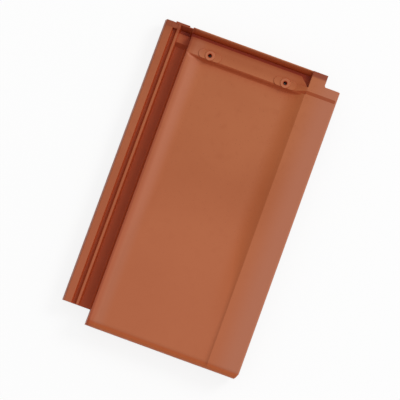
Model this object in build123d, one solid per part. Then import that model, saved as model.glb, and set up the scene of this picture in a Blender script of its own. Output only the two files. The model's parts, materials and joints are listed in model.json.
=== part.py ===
from build123d import *
import os

# A flat interlocking clay roof tile, pressed and fired as one piece.
# Places are measured in millimetres from the left edge, the foot and the floor.
# The finished tile is moved so that the middle of its box stands over the origin.

# Outline, and the part of the length that the next course covers
length = 450.0
width = 271.0
lap = 65.0
gauge = length - lap

# Overlap of added pieces, overrun of cuts, and how near an edge lies to the place it is looked for
embed = 2.0
overrun = 20.0
nearness = 0.01

# Side lock along the left edge, from the outer strip to the wall of the pan
seat_height = 10.0
lock_foot = 22.4
lock_thickness = 8.0
strip_width = 13.9
strip_height = 7.5
strip_lean = 3.0
strip_fall = 0.8
groove_width = 7.1
groove_height = 2.5
groove_draft = 1.5
ridge_width = 5.4
ridge_height = 8.0
ridge_draft = 1.6
ridge_gap = 1.5
channel_width = 16.6
wall_run = 1.6
wall_foot_round = 4.0
flap_thickness = 8.5
lock_round = 1.2
channel_round = 1.8
edge_round_share = 0.8

channel_top = seat_height + lock_thickness
groove_top = channel_top + groove_height
strip_top = channel_top + strip_height
ridge_top = channel_top + ridge_height
flap_under = ridge_top + ridge_gap
edge_top = flap_under + flap_thickness
sky = edge_top + overrun
groove_left = strip_width
ridge_left = groove_left + groove_width
channel_left = ridge_left + ridge_width
wall_foot = channel_left + channel_width
pan_left = wall_foot + wall_run
wall_lean_share = wall_run / (edge_top - channel_top)

# Cover flap along the right edge, with the lip and rib that enter the next tile's lock
flap_width = 46.9
flap_root_reach = 2.0
flap_round = 2.5
joint_gap = 1.6
lock_gap = 2.0
lip_gap = 6.0
rib_gap = 1.2
rib_draft = 1.2
rib_round_share = 0.3

cover_width = width - pan_left + joint_gap
flap_left = width - flap_width
flap_root = flap_left + flap_root_reach
lip_end = channel_top + lock_gap
lip_left = cover_width + channel_left + lip_gap
rib_end = groove_top + lock_gap
rib_left = cover_width + groove_left + rib_gap
rib_right = cover_width + ridge_left - rib_gap
rib_round = rib_round_share * (rib_right - rib_left - 2 * rib_draft)

# Dished pan, deep in the upper part and running out towards the foot
pan_thickness = 11.0
pan_depth_head = 6.5
pan_depth_foot = 2.0
left_flank_head = 30.0
left_flank_foot = 13.0
right_flank_head = 27.0
right_flank_foot = 6.0
under_flank_head = 29.0
under_flank_foot = 14.0
run_out_foot = 100.0
run_out_head = 240.0
crown_share = 0.34
run_out_shares = (0, 0.08, 0.2, 0.35, 0.5, 0.65, 0.8, 0.92, 1)
hollow_inset = 7.4
hollow_draft = 4.0
hollow_round = 6.0

pan_top = edge_top - pan_depth_head
pan_under = pan_top - pan_thickness
foot_under = edge_top - pan_depth_foot - pan_thickness
hollow_left = pan_left + hollow_inset

# Head of the pan, from its step over the ledge and the head groove to the rim
step_run = 6.5
step_shares = (0, 0.25, 0.5, 0.75, 1)
ledge_length = 23.0
ledge_depth = 1.0
head_groove_width = 5.0
head_groove_depth = 7.0
head_groove_draft = 1.0
rim_width = 1.5
rim_slope_run = 6.5
rim_rise = 1.0
rim_round_share = 0.4
root_pad_width = 24.0
root_gusset = 5.0

rim_foot = length - rim_width
head_groove_head = rim_foot - rim_slope_run
head_groove_foot = head_groove_head - head_groove_width
ledge_foot = head_groove_foot - ledge_length
step_foot = ledge_foot - step_run
ledge_share = ledge_depth / pan_depth_head
ledge_top = edge_top - ledge_depth
edge_round = edge_round_share * ledge_depth
head_groove_floor = ledge_top - head_groove_depth
rim_top = ledge_top + rim_rise

# Head of the lock: dam in the channel, closed end of the groove, and the tab on its rim
dam_inset = 1.5
dam_ramp = 8.0
dam_height = 6.0
groove_end_length = 9.0
tab_inset = 2.7
tab_width = 20.8
tab_reach = 1.7

tab_left = groove_left + tab_inset
dam_foot = ledge_foot + dam_inset
dam_top = channel_top + dam_height
lip_head = dam_foot - lock_gap

# Head of the flap: raised block and strip, the notch beside them, pocket and bead
block_inset = 0.9
block_width = 22.0
strip_inset = 5.5
strip_ramp = 4.5
strip_rise = 2.4
strip_round = 1.0
notch_length = 17.0
notch_round = 3.0
pocket_width = 13.5
pocket_depth = 6.5
pocket_length = 24.0
bead_width = 17.0

block_left = flap_left + block_inset
block_right = block_left + block_width
block_top = edge_top + strip_rise
strip_foot = ledge_foot + strip_inset
flap_head = length - notch_length
pocket_left = block_left - pocket_width
pocket_foot = rim_foot - pocket_length
bead_left = block_left - bead_width

# Nail holes with their pads and bosses on the ledge
nail_inset = 5.2
nail_spacing = 114.0
nail_hole = 5.5
boss_size = 15.0
boss_rise = 1.8
boss_round = 1.2
pad_length = 34.0
pad_width = 13.0
pad_rise = 0.9
pad_round = 0.7

nail_row = ledge_foot + nail_inset

# Foot apron and its rounded nose
apron_thickness = 10.0
apron_gap = 1.5
nose_round = 11.0
corner_across = 4.0
corner_along = 8.0

# Foot rib that rests on the ledge and enters the head groove of the tile below
foot_rib_left_inset = 6.0
foot_rib_right_inset = 18.0
foot_rib_draft = 1.5
bearing_gap = 0.3
bearing_width = 9.0
key_gap = 1.5
key_width = 3.0
key_draft = 0.5
key_round_share = 0.2

foot_rib_left = hollow_left + foot_rib_left_inset
foot_rib_right = flap_left - foot_rib_right_inset
foot_rib_root = foot_under + embed
key_middle = (head_groove_foot + head_groove_draft + head_groove_head) / 2 - gauge
key_foot = key_middle - key_width / 2
key_head = key_middle + key_width / 2
bearing_head = key_foot - key_draft
bearing_foot = bearing_head - bearing_width

# The tile lies level, so the rise from one course to the next brings the key's end to the floor
lap_rise = head_groove_floor + key_gap
bearing_end = ledge_top + bearing_gap - lap_rise
apron_rim = edge_top + apron_gap - lap_rise

# Bearing ribs and hanging nibs under the pan
bearer_offset = 40.0
bearer_width = 8.0
bearer_draft = 1.5
bearer_round = 2.0
nib_inset = 18.0
nib_length = 13.0
nib_width = 34.0
nib_draft = 2.0
nib_round = 1.5

nib_hook = length - nib_inset
nib_head = nib_hook + nib_length


def across(outline, start, end):
    """Solid with one section across the tile, running from start to end along it."""
    face = Pos(0, start, 0) * (Plane.XZ * make_face(outline))
    return extrude(face, amount=end - start, dir=(0, 1, 0))


def along(outline, start, end):
    """Solid with one section along the tile, running from start to end across it."""
    face = Pos(start, 0, 0) * (Plane.YZ * make_face(outline))
    return extrude(face, amount=end - start, dir=(1, 0, 0))


def upright(outline, bottom, top):
    """Solid with one plan outline, standing from bottom to top."""
    face = Pos(0, 0, bottom) * make_face(outline)
    return extrude(face, amount=top - bottom, dir=(0, 0, 1))


def slab(left, right, foot, head, bottom, top):
    """Upright block between two places each way."""
    return Pos(left, foot, bottom) * Box(right - left, head - foot, top - bottom, align=Align.MIN)


def rounded(corners):
    """Closed outline through corners that are each given with the radius of their turn."""
    return FilletPolyline(*[c for c, turn in corners], radius=[turn for c, turn in corners], close=True)


def wall_at(height):
    """Place of the pan's leaning left wall at a height."""
    return pan_left - (edge_top - height) * wall_lean_share


def flap_edge_at(height):
    """Place of the flap's leaning right edge at a height, parallel to the next tile's wall."""
    return width - (edge_top - height) * wall_lean_share


def pan_line(rim, depth, left_flank, right_flank):
    """Top of the pan: a crowned left flank, a level floor and a hollow right flank."""
    floor = rim - depth
    crown = (pan_left + crown_share * left_flank, rim - crown_share * depth)
    floor_left = (pan_left + left_flank, floor)
    floor_right = (flap_left - right_flank, floor)
    line = TangentArc((pan_left, rim), crown, tangent=(1, 0))
    line += TangentArc(floor_left, crown, tangent=(-1, 0))
    line += Line(floor_left, floor_right)
    line += TangentArc(floor_right, (flap_left, rim), tangent=(1, 0))
    return line


def trough_outline(depth, left_flank, right_flank):
    """Space above the pan."""
    line = pan_line(edge_top, depth, left_flank, right_flank)
    line += Polyline((flap_left, edge_top), (flap_left, sky), (pan_left, sky), (pan_left, edge_top))
    return line


def hollow_outline(under, flank):
    """Space below the pan, from the lock to the flap."""
    foot = (hollow_left, -overrun)
    corner = (hollow_left + hollow_draft, under)
    flank_foot = (flap_root - flank, under)
    line = FilletPolyline(foot, corner, flank_foot, radius=hollow_round)
    line += TangentArc(flank_foot, (flap_root, flap_under), tangent=(1, 0))
    line += Polyline((flap_root, flap_under), (flap_root, -overrun), foot)
    return line


def tapered(outline, foot, foot_sizes, head, head_sizes, shares):
    """Space that changes from one section to another along the tile, eased at both ends."""
    faces = []
    for share in shares:
        ease = share * share * (3 - 2 * share)
        sizes = [f + (h - f) * ease for f, h in zip(foot_sizes, head_sizes)]
        faces.append(Pos(0, foot + (head - foot) * share, 0) * (Plane.XZ * make_face(outline(*sizes))))
    return loft(faces)


def rim_outline(head, floor, top):
    """Section of the rim at the head, with a sloping inner face and a rounded top."""
    turn = rim_round_share * rim_width
    corners = [
        ((head_groove_head, floor), 0),
        ((head - rim_width, top), turn),
        ((head, top), turn),
        ((head, floor - embed), 0),
        ((head_groove_head, floor - embed), 0),
    ]
    return rounded(corners)


# Long section of lock, pan slab and flap
section = [
    ((0, seat_height), lock_round),
    ((strip_lean, strip_top - strip_fall), channel_round),
    ((groove_left, strip_top), lock_round),
    ((groove_left + groove_draft, groove_top), lock_round),
    ((ridge_left - groove_draft, groove_top), lock_round),
    ((ridge_left, ridge_top), lock_round),
    ((channel_left - ridge_draft, ridge_top), lock_round),
    ((channel_left, channel_top), channel_round),
    ((wall_foot, channel_top), wall_foot_round),
    ((pan_left, edge_top), 0),
    ((width, edge_top), 0),
    ((flap_edge_at(flap_under), flap_under), 0),
    ((flap_root, flap_under), 0),
    ((flap_root, seat_height), 0),
]
tile = across(rounded(section), 0, length)

# Lip and rib of the flap, which stop before the dam of the next tile
lip_and_rib = [
    ((flap_edge_at(flap_under + embed), flap_under + embed), 0),
    ((flap_edge_at(lip_end), lip_end), lock_round),
    ((lip_left, lip_end), lock_round),
    ((lip_left - rib_draft, flap_under), lock_round),
    ((rib_right, flap_under), lock_round),
    ((rib_right - rib_draft, rib_end), rib_round),
    ((rib_left + rib_draft, rib_end), rib_round),
    ((rib_left, flap_under), lock_round),
    ((rib_left - embed, flap_under), 0),
    ((rib_left - embed, flap_under + embed), 0),
]
tile += across(rounded(lip_and_rib), 0, lip_head)

# Dished pan: shallow foot, run-out, deep upper part, and the step that climbs to the ledge
trough_foot = (pan_depth_foot, left_flank_foot, right_flank_foot)
trough_head = (pan_depth_head, left_flank_head, right_flank_head)
trough_ledge = [ledge_share * size for size in trough_head]
tile -= across(trough_outline(*trough_foot), -overrun, run_out_foot)
tile -= tapered(trough_outline, run_out_foot, trough_foot, run_out_head, trough_head, run_out_shares)
tile -= across(trough_outline(*trough_head), run_out_head, step_foot)
tile -= tapered(trough_outline, step_foot, trough_head, ledge_foot, trough_ledge, step_shares)

# Hollow underside, following the pan
hollow_foot = (foot_under, under_flank_foot)
hollow_head = (pan_under, under_flank_head)
tile -= across(hollow_outline(*hollow_foot), -overrun, run_out_foot)
tile -= tapered(hollow_outline, run_out_foot, hollow_foot, run_out_head, hollow_head, run_out_shares)
tile -= across(hollow_outline(*hollow_head), run_out_head, length + overrun)

# Foot apron, its lower edge following the pan of the tile below
apron_line = pan_line(apron_rim, pan_depth_head, left_flank_head, right_flank_head)
apron_line += Polyline(
    (flap_left, apron_rim),
    (flap_edge_at(apron_rim), apron_rim),
    (flap_edge_at(flap_under + embed), flap_under + embed),
    (wall_at(flap_under + embed), flap_under + embed),
    (wall_at(apron_rim), apron_rim),
    (pan_left, apron_rim),
)
tile += across(apron_line, 0, apron_thickness)

# The lock stops short of the foot
lock_end = Polyline(
    (-overrun, -overrun),
    (wall_at(-overrun), -overrun),
    (pan_left, edge_top),
    (pan_left, sky),
    (-overrun, sky),
    close=True,
)
tile -= across(lock_end, -overrun, lock_foot)

# Rounded nose
nose = tile.edges().filter_by_position(Axis.Y, -nearness, nearness)
nose = nose.filter_by_position(Axis.Z, edge_top - pan_depth_foot - nearness, edge_top + nearness)
tile = fillet(nose, nose_round)

# Ledge at the pan's head
tile -= slab(wall_foot, block_left, ledge_foot, length + overrun, ledge_top, sky)

# Rounded long edges of the pan's left wall, of the ledge beyond it and of the flap
for place, turn in ((pan_left, edge_round), (wall_at(ledge_top), edge_round), (width, flap_round)):
    long_edges = tile.edges().filter_by(Axis.Y).filter_by_position(Axis.X, place - nearness, place + nearness)
    tile = fillet(long_edges.sort_by(Axis.Z)[-1], turn)

# Cut corner at the right end of the foot
corner_cut = Polyline(
    (width - corner_across, 0),
    (width, corner_along),
    (width + overrun, corner_along),
    (width + overrun, 0),
    close=True,
)
tile -= upright(corner_cut, -overrun, sky)

# Thick root of the flap under the pocket and the end of the head groove
root_pad = Polyline(
    (flap_root - root_pad_width, pan_under),
    (flap_root, pan_under),
    (flap_root, flap_under - root_gusset),
    (flap_root + root_gusset, flap_under),
    (flap_root + root_gusset, flap_under + embed),
    (flap_root - root_pad_width, flap_under + embed),
    close=True,
)
tile += across(root_pad, step_foot, length)

# Head groove and rim
head_groove = Polyline(
    (head_groove_foot, ledge_top),
    (head_groove_foot + head_groove_draft, head_groove_floor),
    (length + overrun, head_groove_floor),
    (length + overrun, sky),
    (head_groove_foot, sky),
    close=True,
)
tile -= along(head_groove, wall_foot, block_left)
tile += along(rim_outline(length, head_groove_floor, rim_top), wall_foot, block_left)

# Head of the lock: low rim with a tab, dam in the channel and closed end of the groove
tile += along(rim_outline(length, channel_top, ridge_top), tab_left, wall_foot + embed)
tile += along(rim_outline(length + tab_reach, channel_top, ridge_top), tab_left, tab_left + tab_width)
dam = [
    ((dam_foot, channel_top - embed), 0),
    ((dam_foot + dam_ramp, dam_top), channel_round),
    ((head_groove_foot, dam_top), lock_round),
    ((head_groove_foot, channel_top - embed), 0),
]
tile += along(rounded(dam), channel_left - ridge_draft, wall_foot + embed)
groove_end_foot = length - groove_end_length
groove_end = slab(
    groove_left - embed, ridge_left + embed, groove_end_foot, length, groove_top - embed, strip_top
)
tile += fillet(groove_end.faces().sort_by(Axis.Z)[-1].edges().filter_by(Axis.X), lock_round)

# Pocket beside the block, and the bead that climbs from the ledge to the strip
pocket = Polyline(
    (pocket_left, head_groove_foot),
    (block_left, pocket_foot),
    (block_left, head_groove_head),
    (pocket_left, head_groove_head),
    close=True,
)
tile -= upright(pocket, ledge_top - pocket_depth, sky)
bead = Polyline(
    (bead_left, ledge_top),
    (block_left + strip_round, block_top),
    (block_left + strip_round, ledge_top - embed),
    (bead_left, ledge_top - embed),
    close=True,
)
bead = across(bead, ledge_foot, pocket_foot)
bead_ramp = Polyline(
    (ledge_foot, ledge_top),
    (strip_foot, block_top),
    (strip_foot, sky),
    (ledge_foot, sky),
    close=True,
)
tile += bead - along(bead_ramp, bead_left - overrun, width + overrun)

# Raised strip and block at the flap's head, and the notch beside them
ramp_foot = strip_foot - strip_ramp
raised = Polyline(
    (block_left, ramp_foot),
    (width - flap_round, ramp_foot),
    (width - flap_round, flap_head),
    (block_right, flap_head),
    (block_right, length),
    (block_left, length),
    close=True,
)
raised = upright(raised, edge_top - embed, block_top)
ramp = Polyline(
    (ramp_foot, edge_top),
    (strip_foot, block_top),
    (strip_foot, sky),
    (ramp_foot, sky),
    close=True,
)
raised -= along(ramp, block_left - overrun, width + overrun)
tile += fillet(raised.faces().sort_by(Axis.Z)[-1].edges(), strip_round)
notch = FilletPolyline(
    (block_right, length + overrun),
    (block_right, flap_head),
    (width + overrun, flap_head),
    (width + overrun, length + overrun),
    radius=[0, notch_round, 0, 0],
    close=True,
)
tile -= upright(notch, -overrun, sky)

# Foot rib: bearing face and key
foot_rib = [
    ((bearing_foot - foot_rib_draft, foot_rib_root), 0),
    ((bearing_foot, bearing_end), lock_round),
    ((bearing_head, bearing_end), 0),
    ((key_foot, 0), key_round_share * key_width),
    ((key_head, 0), key_round_share * key_width),
    ((key_head + foot_rib_draft, foot_rib_root), 0),
]
tile += along(rounded(foot_rib), foot_rib_left, foot_rib_right)

# Bearing ribs and nibs, one of each on either side of the middle
for side in (-1, 1):
    middle = width / 2 + side * bearer_offset
    half = bearer_width / 2
    bearer = FilletPolyline(
        (middle - half - bearer_draft, foot_rib_root),
        (middle - half, seat_height),
        (middle + half, seat_height),
        (middle + half + bearer_draft, foot_rib_root),
        radius=[0, bearer_round, bearer_round, 0],
        close=True,
    )
    tile += across(bearer, key_head, nib_head)
    nib = Polyline(
        (nib_hook, pan_under + embed),
        (nib_hook, 0),
        (nib_head, 0),
        (nib_head + nib_draft, pan_under + embed),
        close=True,
    )
    nib = along(nib, middle - nib_width / 2, middle + nib_width / 2)
    tile += fillet(nib.faces().sort_by(Axis.Z)[0].edges(), nib_round)

# Nail holes
for side in (-1, 1):
    nail = Pos(width / 2 + side * nail_spacing / 2, nail_row, 0)
    root = nail * Pos(0, 0, pan_top - embed)
    pad = extrude(SlotOverall(pad_length, pad_width), amount=ledge_top + pad_rise - pan_top + embed)
    boss = extrude(Circle(boss_size / 2), amount=ledge_top + boss_rise - pan_top + embed)
    tile += root * fillet(pad.faces().sort_by(Axis.Z)[-1].edges(), pad_round)
    tile += root * fillet(boss.faces().sort_by(Axis.Z)[-1].edges(), boss_round)
    tile -= nail * extrude(Circle(nail_hole / 2), amount=sky)

box = tile.bounding_box()
tile = Pos(-box.center().X, -box.center().Y, -box.min.Z) * tile
os.makedirs("parts", exist_ok=True)
export_step(tile, "parts/roof_tile.step")
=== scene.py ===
import json
import math

import bpy
from mathutils import Matrix, Vector

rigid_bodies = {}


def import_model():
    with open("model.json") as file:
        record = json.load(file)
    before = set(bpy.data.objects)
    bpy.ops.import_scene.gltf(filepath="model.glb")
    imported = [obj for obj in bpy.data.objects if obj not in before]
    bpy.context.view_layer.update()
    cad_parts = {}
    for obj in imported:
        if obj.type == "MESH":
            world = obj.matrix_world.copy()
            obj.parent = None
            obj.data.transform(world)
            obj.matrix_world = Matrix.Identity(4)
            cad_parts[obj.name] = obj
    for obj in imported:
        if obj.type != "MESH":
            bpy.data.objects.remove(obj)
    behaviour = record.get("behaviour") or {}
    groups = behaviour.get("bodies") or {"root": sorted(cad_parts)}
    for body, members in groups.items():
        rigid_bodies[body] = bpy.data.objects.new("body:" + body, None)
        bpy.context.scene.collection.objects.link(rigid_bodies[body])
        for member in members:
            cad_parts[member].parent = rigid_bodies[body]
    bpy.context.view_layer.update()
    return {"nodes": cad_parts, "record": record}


for start_object in list(bpy.data.objects):
    bpy.data.objects.remove(start_object)
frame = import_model()
scene = bpy.context.scene
tile = frame["nodes"]["roof_tile"]

# Places of the nail holes from the record, in metres
MILLIMETRE = 0.001
nails = next(mount for mount in frame["record"]["mounts"] if mount["name"] == "nail_holes")
nail_row = nails["pos_m"][1]
nail_aside = nails["dims"]["spacing_x_mm"] * MILLIMETRE / 2
nail_radius = nails["dims"]["hole_r_mm"] * MILLIMETRE

# Camera in metres and degrees, fitted to the photograph
CAMERA_DISTANCE = 3.0
CAMERA_ELEVATION = 84.55
CAMERA_ROLL = 20.04
CAMERA_TARGET = (0.0, -0.0036, 0.018)
PIXELS_PER_METRE = 702.3
IMAGE_SIZE = 400
SENSOR_MM = 36.0

# Key lamp in metres and degrees, and the shares of plain light that come from the lamp and the sky
KEY_ELEVATION = 37.0
KEY_AZIMUTH = 48.0
KEY_DISTANCE = 8.0
KEY_SIZE = 3.0
KEY_SHARE = 0.26
SKY_SHARE = 0.725
SKY_SLOPE = (0.30, 0.28, 0.0)

# Floor in metres and its tones, white to the camera except where the tile hides it, where a darker paint
# is painted shade
FLOOR_SIZE = 8.0
FLOOR_BELOW = 0.0005
HIDDEN_X = (0.062, 0.090)
HIDDEN_Y = (0.196, 0.222)
FLOOR_GLOW = 0.84
FLOOR_SEEN = (0.9, 0.9, 0.9, 1)
FLOOR_SHADE_TONE = (0.2, 0.2, 0.2, 1)
FLOOR_BOUNCE = (0.5, 0.5, 0.5, 1)

# Places on the tile in metres, most of them for painted shade, sheen or light: where a change of tone
# begins and where it is full, for a band also its end
FOOT_RUN = (0.12, -0.19)
NOSE_RUN = (-0.2165, -0.2225)
FLAP_SHEEN = (0.088, 0.125)
FLANK_SHEEN = (-0.087, -0.0785, -0.076, -0.062)
RIGHT_FLANK = (0.058, 0.080, 0.0870, 0.0900)
FLANK_RUN = (-0.190, -0.050)
TURNED_RUN = (0.204, 0.198)
LOCK_SIDE = (-0.079, -0.0850)
SHOULDER = (-0.0925, -0.0912, -0.0895, -0.0868)
BLOCK_SIDE = (0.0888, 0.0902)
LEDGE_RUN = (0.1840, 0.2030)
LEDGE_SIDE = (-0.110, -0.098)
SEAM_RUN = (0.2040, 0.2150)
SEAM_SIDE = (-0.119, -0.114)
SEAM_END = (0.2188, 0.2155)
HEAD_EDGE = (0.2138, 0.2180)
LOCK_HEAD = (-0.094, -0.100)
HOLLOW_SHADE_TOP = (0.0353, 0.0340)
UNDER_X = (-0.0838, 0.131)
UNDER_Y = (-0.2155, 0.2235)
UNDER_TOP = 0.0265
ARRIS_REACH = 0.0014
HOLLOW_REACH = 0.025

# Rings round a nail hole, in radii of the hole
NAIL_RING = (1.5, 1.05)
BOSS_RING = (1.2, 1.6, 1.9, 2.7)

# Directions of a face: its normal's Y or Z at which a change of tone begins and is full
TURNED_TO_FOOT = (-0.12, -0.55)
LOOKING_UP = (0.10, 0.60)
LOOKING_DOWN = (-0.15, -0.6)

# Openness of a place at which a change of tone begins and is full
ARRIS_OPEN = (0.9, 0.5)
HOLLOW_OPEN = (0.99, 0.70)
OPENNESS_SAMPLES = 8

# Noise: scale, detail and roughness, and for the specks the scale of their cells
SLOW_NOISE = (7.0, 2.0, 0.5)
MOTTLE_NOISE = (70.0, 4.0, 0.55)
GRAIN_NOISE = (1500.0, 2.0, 0.5)
PEEL_NOISE = (420.0, 2.0, 0.5)
SAND_NOISE = (900.0, 5.0, 0.7)
SPECK_SCALE = 210.0

# Values of the noise and the cells at which a change begins and is full
SLOW_SPAN = (0.35, 0.65)
MOTTLE_SPAN = (0.5, 0.78)
GRAIN_SPAN = (0.52, 0.75)
SPECK_SPAN = (0.13, 0.05)
RAW_SPAN = (0.35, 0.7)
SATIN_SPAN = (0.3, 0.7)

# How far each tone covers what is below it, painted sheen, light, shade and highlight among them
EVEN_SHARE = 0.62
MOTTLE_SHARE = 0.35
GRAIN_SHARE = 0.3
SPECK_SHARE = 0.55
FOOT_SHARE = 0.65
FLAP_SHEEN_SHARE = 0.8
FLANK_SHEEN_SHARE = 0.6
ARRIS_SHARE = 0.3
NOSE_LIGHT_SHARE = 0.85
HOLLOW_SHADE_TOP_SHARE = 0.25
LEDGE_SHADE_SHARE = 0.36
STRIP_SHADE_SHARE = 0.45
LOCK_HEAD_SHADE_SHARE = 0.65
BOSS_HIGHLIGHT_SHARE = 0.4
HOLE_SHADE_SHARE = 0.85

# Surface: relief heights, bump in metres, roughness and gloss
PEEL_HEIGHT = 0.35
SAND_HEIGHT = 1.6
BUMP_STRENGTH = 0.25
BUMP_DISTANCE = 0.0004
SATIN_ROUGHNESS = (0.46, 0.54)
RAW_ROUGHNESS = 0.9
SPECULAR = 0.2

# Tones, linear
WHITE = (1, 1, 1, 1)
ENGOBE = (0.409, 0.118, 0.044, 1)
ENGOBE_DARK = (0.361, 0.096, 0.034, 1)
ENGOBE_LIGHT = (0.447, 0.140, 0.056, 1)
ENGOBE_FOOT = (0.448, 0.126, 0.054, 1)
# Painted sheen for the flap and the pan's left flank
FLAP_SHEEN_TONE = (0.424, 0.150, 0.085, 1)
FLANK_SHEEN_TONE = (0.425, 0.144, 0.078, 1)
ENGOBE_WORN = (0.470, 0.158, 0.085, 1)
# Painted light for the rounded nose
NOSE_PAINTED_LIGHT = (0.580, 0.138, 0.038, 1)
# Painted shade for grooves and corners
HOLLOW_SHADE_TONE = (0.393, 0.062, 0.015, 1)
# Painted highlight for the bosses, painted shade for the nail holes
BOSS_HIGHLIGHT_TONE = (0.520, 0.175, 0.095, 1)
HOLE_SHADE_TONE = (0.340, 0.030, 0.004, 1)
SPECK = (0.180, 0.050, 0.024, 1)
RAW_CLAY = (0.470, 0.185, 0.088, 1)
RAW_CLAY_DARK = (0.380, 0.135, 0.060, 1)

# Tints, which multiply the tone below: all of them are painted shade
FLANK_SHADE_TINT = (0.955, 0.855, 0.69, 1)
FOOTWARD_SHADE_TINT = (0.93, 0.60, 0.42, 1)
LOCK_SHADE_TINT = (0.93, 0.86, 0.88, 1)
SHOULDER_SHADE_TINT = (0.81, 0.66, 0.62, 1)
HEAD_SHADE_TINT = (0.60, 0.30, 0.12, 1)
HEAD_EDGE_SHADE_TINT = (0.60, 0.43, 0.45, 1)


class Nodes:
    """Short calls for building one node tree."""

    def __init__(self, tree):
        self.tree = tree
        tree.nodes.clear()

    def add(self, kind, **values):
        node = self.tree.nodes.new(kind)
        for name, value in values.items():
            setattr(node, name, value)
        return node

    def feed(self, socket, value):
        if isinstance(value, (int, float, tuple)):
            socket.default_value = value
        else:
            self.tree.links.new(value, socket)

    def split(self, vector):
        node = self.add("ShaderNodeSeparateXYZ")
        self.feed(node.inputs["Vector"], vector)
        return node.outputs

    def noise(self, vector, scale, detail, roughness):
        node = self.add("ShaderNodeTexNoise")
        self.feed(node.inputs["Vector"], vector)
        self.feed(node.inputs["Scale"], scale)
        self.feed(node.inputs["Detail"], detail)
        self.feed(node.inputs["Roughness"], roughness)
        return node.outputs["Fac"]

    def openness(self, reach, inside=False):
        node = self.add("ShaderNodeAmbientOcclusion", samples=OPENNESS_SAMPLES, inside=inside)
        self.feed(node.inputs["Distance"], reach)
        return node.outputs["AO"]

    def fade(self, value, span, most=1.0, least=0.0):
        """Goes smoothly from least, where the value is at the span's start, to most at its end."""
        node = self.add("ShaderNodeMapRange", interpolation_type="SMOOTHSTEP")
        self.feed(node.inputs["Value"], value)
        self.feed(node.inputs["From Min"], span[0])
        self.feed(node.inputs["From Max"], span[1])
        self.feed(node.inputs["To Min"], least)
        self.feed(node.inputs["To Max"], most)
        return node.outputs["Result"]

    def band(self, value, span, most=1.0):
        """Rises to most, stays there and falls again."""
        start, full, wane, end = span
        return self.product(self.fade(value, (start, full), most), self.fade(value, (end, wane)))

    def maths(self, operation, first, second=0.0):
        node = self.add("ShaderNodeMath", operation=operation)
        self.feed(node.inputs[0], first)
        self.feed(node.inputs[1], second)
        return node.outputs["Value"]

    def product(self, first, *others):
        result = first
        for other in others:
            result = self.maths("MULTIPLY", result, other)
        return result

    def mix(self, factor, below, above, kind="RGBA", blend="MIX"):
        node = self.add("ShaderNodeMix", data_type=kind, blend_type=blend, clamp_factor=True)
        self.feed(node.inputs["Factor"], factor)
        self.feed(node.inputs["A"], below)
        self.feed(node.inputs["B"], above)
        return node.outputs["Result"]

    def tint(self, factor, below, tone):
        return self.mix(factor, below, tone, blend="MULTIPLY")

    def direct_rays(self):
        """1 for rays that show the surroundings themselves: seen, mirrored or through glass."""
        rays = self.add("ShaderNodeLightPath").outputs
        seen = self.maths("MAXIMUM", rays["Is Camera Ray"], rays["Is Glossy Ray"])
        return self.maths("MAXIMUM", seen, rays["Is Transmission Ray"])

    def mix_shaders(self, factor, first, second):
        node = self.add("ShaderNodeMixShader")
        self.feed(node.inputs["Fac"], factor)
        self.feed(node.inputs[1], first)
        self.feed(node.inputs[2], second)
        return node.outputs["Shader"]

    def output(self, kind, shader):
        self.feed(self.add(kind).inputs["Surface"], shader)


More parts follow.
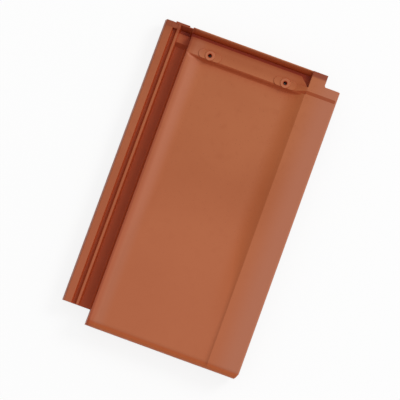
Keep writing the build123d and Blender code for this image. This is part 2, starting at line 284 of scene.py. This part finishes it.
def fired_clay():
    """Satin engobe on the weather side and edges, bare matt clay on the underside."""
    material = bpy.data.materials.new("fired_clay_engobe")
    material.use_nodes = True
    nodes = Nodes(material.node_tree)
    where = nodes.add("ShaderNodeTexCoord").outputs["Object"]
    place = nodes.split(where)
    facing = nodes.split(nodes.add("ShaderNodeNewGeometry").outputs["Normal"])

    # Slow change of tone over the tile, mottling and grain
    slow = nodes.noise(where, *SLOW_NOISE)
    mottle = nodes.noise(where, *MOTTLE_NOISE)
    grain = nodes.noise(where, *GRAIN_NOISE)
    colour = nodes.mix(nodes.fade(slow, SLOW_SPAN), ENGOBE_DARK, ENGOBE_LIGHT)
    colour = nodes.mix(EVEN_SHARE, colour, ENGOBE)
    colour = nodes.mix(nodes.fade(mottle, MOTTLE_SPAN, MOTTLE_SHARE), colour, ENGOBE_DARK)
    colour = nodes.mix(nodes.fade(grain, GRAIN_SPAN, GRAIN_SHARE), colour, ENGOBE_LIGHT)

    # Small iron specks
    cells = nodes.add("ShaderNodeTexVoronoi")
    nodes.feed(cells.inputs["Vector"], where)
    nodes.feed(cells.inputs["Scale"], SPECK_SCALE)
    colour = nodes.mix(nodes.fade(cells.outputs["Distance"], SPECK_SPAN, SPECK_SHARE), colour, SPECK)

    # Lighter towards the foot, with a painted sheen, a paler tone, towards the flap's free edge and on the
    # pan's left flank
    colour = nodes.mix(nodes.fade(place["Y"], FOOT_RUN, FOOT_SHARE), colour, ENGOBE_FOOT)
    colour = nodes.mix(nodes.fade(place["X"], FLAP_SHEEN, FLAP_SHEEN_SHARE), colour, FLAP_SHEEN_TONE)
    colour = nodes.mix(nodes.band(place["X"], FLANK_SHEEN, FLANK_SHEEN_SHARE), colour, FLANK_SHEEN_TONE)

    # Painted shade in the pan's right flank, which looks away from the key lamp, fading out towards the
    # foot
    flank_shade = nodes.product(nodes.band(place["X"], RIGHT_FLANK), nodes.fade(place["Y"], FLANK_RUN))
    colour = nodes.tint(flank_shade, colour, FLANK_SHADE_TINT)

    # Painted shade on slopes that look to the foot, below the head
    footward_shade = nodes.product(nodes.fade(facing["Y"], TURNED_TO_FOOT), nodes.fade(place["Y"], TURNED_RUN))
    colour = nodes.tint(footward_shade, colour, FOOTWARD_SHADE_TINT)

    # Paler arrises, where the engobe is thin
    arris = nodes.openness(ARRIS_REACH, inside=True)
    colour = nodes.mix(nodes.fade(arris, ARRIS_OPEN, ARRIS_SHARE), colour, ENGOBE_WORN)

    # Painted light on the rounded nose: a brighter, more orange tone that stands for light falling on it
    colour = nodes.mix(nodes.fade(place["Y"], NOSE_RUN, NOSE_LIGHT_SHARE), colour, NOSE_PAINTED_LIGHT)

    # Painted shade, a deeper red, in grooves and corners, fainter on the highest faces
    hollow_shade = nodes.fade(nodes.openness(HOLLOW_REACH), HOLLOW_OPEN)
    hollow_shade = nodes.product(hollow_shade, nodes.fade(place["Z"], HOLLOW_SHADE_TOP, 1.0, HOLLOW_SHADE_TOP_SHARE))
    colour = nodes.mix(hollow_shade, colour, HOLLOW_SHADE_TONE)

    # Painted shade on the lock and, darker, on the pan's shoulder beside it, standing for a rounder
    # shoulder that turns from the light
    colour = nodes.tint(nodes.fade(place["X"], LOCK_SIDE), colour, LOCK_SHADE_TINT)
    colour = nodes.tint(nodes.band(place["X"], SHOULDER), colour, SHOULDER_SHADE_TINT)

    # Painted shade, a deeper red, on the ledge and most of all in the head groove, not on the block
    block = nodes.fade(place["X"], BLOCK_SIDE)
    ledge_shade = nodes.fade(place["Y"], LEDGE_RUN, LEDGE_SHADE_SHARE)
    ledge_shade = nodes.product(ledge_shade, nodes.fade(place["X"], LEDGE_SIDE))
    seam_shade = nodes.fade(place["Y"], SEAM_RUN, 1.0 - LEDGE_SHADE_SHARE)
    seam_shade = nodes.product(seam_shade, nodes.fade(place["X"], SEAM_SIDE, 1.0, STRIP_SHADE_SHARE))
    head_shade = nodes.product(nodes.maths("ADD", ledge_shade, seam_shade), nodes.fade(place["Y"], SEAM_END))
    head_shade = nodes.product(head_shade, nodes.maths("SUBTRACT", 1.0, block))
    colour = nodes.tint(head_shade, colour, HEAD_SHADE_TINT)

    # Painted shade at the head edge of the block and the lock, standing for a rounded end
    edge_shade = nodes.maths("MAXIMUM", block, nodes.fade(place["X"], LOCK_HEAD, LOCK_HEAD_SHADE_SHARE))
    edge_shade = nodes.product(edge_shade, nodes.fade(place["Y"], HEAD_EDGE), nodes.fade(facing["Z"], LOOKING_UP))
    colour = nodes.tint(edge_shade, colour, HEAD_EDGE_SHADE_TINT)

    # Painted highlight, a paler ring, on the bosses round the nail holes, and painted shade in the holes
    aside = nodes.maths("SUBTRACT", nodes.maths("ABSOLUTE", place["X"]), nail_aside)
    ahead = nodes.maths("SUBTRACT", place["Y"], nail_row)
    away = nodes.maths("ADD", nodes.product(aside, aside), nodes.product(ahead, ahead))
    away = nodes.maths("DIVIDE", nodes.maths("SQRT", away), nail_radius)
    colour = nodes.mix(nodes.band(away, BOSS_RING, BOSS_HIGHLIGHT_SHARE), colour, BOSS_HIGHLIGHT_TONE)
    colour = nodes.mix(nodes.fade(away, NAIL_RING, HOLE_SHADE_SHARE), colour, HOLE_SHADE_TONE)

    # Bare clay on faces that look down, and on the sides of the ribs, nibs and hollow below
    under = nodes.maths("LESS_THAN", place["Z"], UNDER_TOP)
    for axis, (low, high) in (("X", UNDER_X), ("Y", UNDER_Y)):
        under = nodes.product(under, nodes.maths("GREATER_THAN", place[axis], low))
        under = nodes.product(under, nodes.maths("LESS_THAN", place[axis], high))
    bare = nodes.maths("MAXIMUM", nodes.fade(facing["Z"], LOOKING_DOWN), under)
    body = nodes.mix(nodes.fade(mottle, RAW_SPAN), RAW_CLAY, RAW_CLAY_DARK)
    colour = nodes.mix(bare, colour, body)

    # Fine relief: a slight orange peel on the engobe, sand on the bare clay
    peel = nodes.product(nodes.noise(where, *PEEL_NOISE), PEEL_HEIGHT)
    sand = nodes.product(nodes.noise(where, *SAND_NOISE), SAND_HEIGHT)
    bump = nodes.add("ShaderNodeBump")
    nodes.feed(bump.inputs["Strength"], BUMP_STRENGTH)
    nodes.feed(bump.inputs["Distance"], BUMP_DISTANCE)
    nodes.feed(bump.inputs["Height"], nodes.mix(bare, peel, sand, kind="FLOAT"))

    # Satin engobe, matt clay
    smoothest, roughest = SATIN_ROUGHNESS
    satin = nodes.fade(mottle, SATIN_SPAN, roughest, smoothest)
    shader = nodes.add("ShaderNodeBsdfPrincipled")
    nodes.feed(shader.inputs["Base Color"], colour)
    nodes.feed(shader.inputs["Roughness"], nodes.mix(bare, satin, RAW_ROUGHNESS, kind="FLOAT"))
    nodes.feed(shader.inputs["Normal"], bump.outputs["Normal"])
    nodes.feed(shader.inputs["Specular IOR Level"], SPECULAR)
    nodes.output("ShaderNodeOutputMaterial", shader.outputs["BSDF"])
    return material


def floor_white():
    """Pale floor that the camera sees as white, with the object's shadow kept, and painted shade, a darker
    paint, where the tile hides it.
    """
    material = bpy.data.materials.new("studio_floor")
    material.use_nodes = True
    nodes = Nodes(material.node_tree)
    direct = nodes.direct_rays()
    place = nodes.split(nodes.add("ShaderNodeTexCoord").outputs["Object"])
    clear_x = nodes.fade(nodes.maths("ABSOLUTE", place["X"]), HIDDEN_X)
    clear_y = nodes.fade(nodes.maths("ABSOLUTE", place["Y"]), HIDDEN_Y)
    clear = nodes.maths("MAXIMUM", clear_x, clear_y)
    tone = nodes.mix(clear, FLOOR_SHADE_TONE, FLOOR_SEEN)
    paint = nodes.add("ShaderNodeBsdfDiffuse")
    nodes.feed(paint.inputs["Color"], nodes.mix(direct, FLOOR_BOUNCE, tone))
    glow = nodes.add("ShaderNodeEmission")
    nodes.feed(glow.inputs["Color"], WHITE)
    nodes.feed(glow.inputs["Strength"], 1.0)
    share = nodes.product(direct, clear, FLOOR_GLOW)
    surface = nodes.mix_shaders(share, paint.outputs["BSDF"], glow.outputs["Emission"])
    nodes.output("ShaderNodeOutputMaterial", surface)
    return material


def studio_sky():
    """Soft light, stronger on the flap's side and towards the head, and white where it is seen."""
    world = bpy.data.worlds.new("studio")
    world.use_nodes = True
    nodes = Nodes(world.node_tree)
    slope = nodes.add("ShaderNodeVectorMath", operation="DOT_PRODUCT")
    nodes.feed(slope.inputs[0], nodes.add("ShaderNodeTexCoord").outputs["Generated"])
    nodes.feed(slope.inputs[1], tuple(SKY_SHARE * share for share in SKY_SLOPE))
    light = nodes.add("ShaderNodeBackground")
    nodes.feed(light.inputs["Color"], WHITE)
    nodes.feed(light.inputs["Strength"], nodes.maths("ADD", slope.outputs["Value"], SKY_SHARE))
    seen = nodes.add("ShaderNodeBackground")
    nodes.feed(seen.inputs["Color"], WHITE)
    nodes.feed(seen.inputs["Strength"], 1.0)
    direct = nodes.direct_rays()
    surface = nodes.mix_shaders(direct, light.outputs["Background"], seen.outputs["Background"])
    nodes.output("ShaderNodeOutputWorld", surface)
    return world


clay = fired_clay()
for index in range(len(tile.data.materials)):
    tile.data.materials[index] = clay

# Floor under the tile
bpy.ops.mesh.primitive_plane_add(size=FLOOR_SIZE, location=(0, 0, -FLOOR_BELOW))
floor = bpy.context.object
floor.name = "floor"
floor.data.materials.append(floor_white())

scene.world = studio_sky()

# Key light: a broad soft lamp on the flap's side, with the power that gives its share on a level surface
elevation = math.radians(KEY_ELEVATION)
azimuth = math.radians(KEY_AZIMUTH)
level_part = math.cos(elevation)
toward = Vector((level_part * math.cos(azimuth), level_part * math.sin(azimuth), math.sin(elevation)))
lamp = bpy.data.lights.new("key", "AREA")
lamp.shape = "DISK"
lamp.size = KEY_SIZE
lamp.energy = math.pi ** 2 * KEY_DISTANCE ** 2 * KEY_SHARE / math.sin(elevation)
key = bpy.data.objects.new("key", lamp)
key.location = toward * KEY_DISTANCE
key.rotation_euler = toward.to_track_quat("Z", "Y").to_euler()
scene.collection.objects.link(key)

# Camera at the photograph's angle
tilt = math.radians(CAMERA_ELEVATION)
roll = math.radians(CAMERA_ROLL)
back = Vector((0, -math.cos(tilt), math.sin(tilt)))
level = Vector((1, 0, 0))
above = back.cross(level)
right = math.cos(roll) * level + math.sin(roll) * above
up = math.cos(roll) * above - math.sin(roll) * level
camera_data = bpy.data.cameras.new("camera")
camera_data.sensor_width = SENSOR_MM
camera_data.lens = PIXELS_PER_METRE * CAMERA_DISTANCE * SENSOR_MM / IMAGE_SIZE
camera = bpy.data.objects.new("camera", camera_data)
stand = Vector(CAMERA_TARGET) + CAMERA_DISTANCE * back
camera.matrix_world = Matrix.Translation(stand) @ Matrix((right, up, back)).transposed().to_4x4()
scene.collection.objects.link(camera)
scene.camera = camera
scene.view_settings.view_transform = "Standard"
